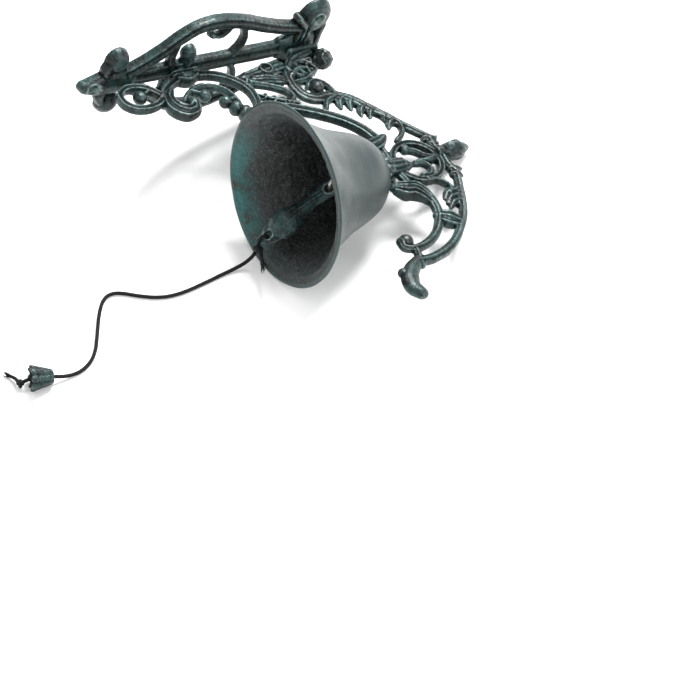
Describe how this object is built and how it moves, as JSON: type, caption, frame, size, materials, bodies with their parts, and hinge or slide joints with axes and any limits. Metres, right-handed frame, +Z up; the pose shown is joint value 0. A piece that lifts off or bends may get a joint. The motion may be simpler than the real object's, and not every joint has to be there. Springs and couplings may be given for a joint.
{
  "type": "wall mounted bell",
  "caption": "Cast iron wall bell: openwork wall plate and scrolled bracket carrying a bell, with a clapper on an eye bolt and a braided pull cord ending in a fluted pull.",
  "frame": {"origin": "on the table, under the middle of the casting's box, the cord and pull left out", "axes": "The bell lies on its side on a table, on its rim, one top lobe of the wall plate and the finial. +Z is up from the table. +X is the direction in which the bracket leaves the wall, 6.6 degrees off level. +Y is towards the top of the hung bell, 20 degrees off level, so the bell's mouth looks towards -Y and a little up. To hang it, turn it so that the axis of mount wall_face points into the wall and the finial is on top."},
  "size_m": [0.2452, 0.3571, 0.1189],
  "materials": {
    "iron": "sand cast, dark iron with a verdigris patina rubbed over the high points",
    "bell": "cast bell with a pale grey green brushed patina outside and a rough dark inside",
    "steel": "dull zinc plated steel",
    "cord": "matt black braided cord"
  },
  "bodies": {
    "casting": {"wall_plate": "iron", "bracket_arm": "iron", "upper_plate_screw": "steel", "lower_plate_screw": "steel", "bell_shell": "bell", "eye_bolt": "steel", "crown_washer": "steel", "crown_nut": "steel"},
    "clapper": {"clapper": "iron", "tie_knot": "cord", "tie_tail_long": "cord", "tie_tail_short": "cord"},
    "cord": {"pull_cord": "cord", "cord_pull": "iron", "end_knot": "cord", "cord_tip": "cord"}
  },
  "joints": [
    {"name": "clapper_swing", "type": "hinge", "parent": "casting", "child": "clapper", "pos_m": [0.01364, 0.00611, 0.04324], "axis": [-0.9934, 0, 0.1145], "range_deg": [0, 78]},
    {"name": "cord_swing", "type": "hinge", "parent": "clapper", "child": "cord", "pos_m": [0.0125, -0.05765, 0.0178], "axis": [-0.9934, 0, 0.1145], "range_deg": [-99.06, 0]}
  ],
  "couplings": [
    {"joint": "cord_swing", "follows": "clapper_swing", "ratio": -1.27}
  ]
}
